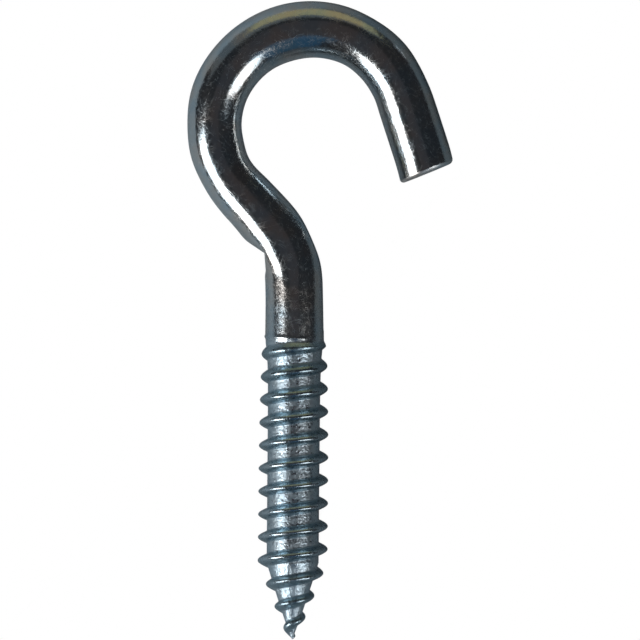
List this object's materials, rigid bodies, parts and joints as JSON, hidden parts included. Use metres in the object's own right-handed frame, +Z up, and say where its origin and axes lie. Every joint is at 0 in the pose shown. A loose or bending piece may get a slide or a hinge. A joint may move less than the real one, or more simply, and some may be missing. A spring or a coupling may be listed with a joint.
{
  "type": "screw hook",
  "caption": "Open screw hook bent from round steel wire, with a wood thread and a gimlet point, to hang a ring, cord or chain.",
  "frame": {"origin": "on the shank's axis, in the plane where the thread begins", "axes": "the hook lies flat in the XY plane as it would come to rest, +Z up; +Y runs from the thread along the shank to the top of the loop; +X points to the side of the loop's open end"},
  "size_m": [0.0271, 0.065, 0.0072],
  "materials": {
    "plated_steel": "bright zinc plating with a clear blue passivation, lightly scratched and pitted from forming"
  },
  "bodies": {
    "root": {"screw_hook": "plated_steel"}
  },
  "joints": []
}
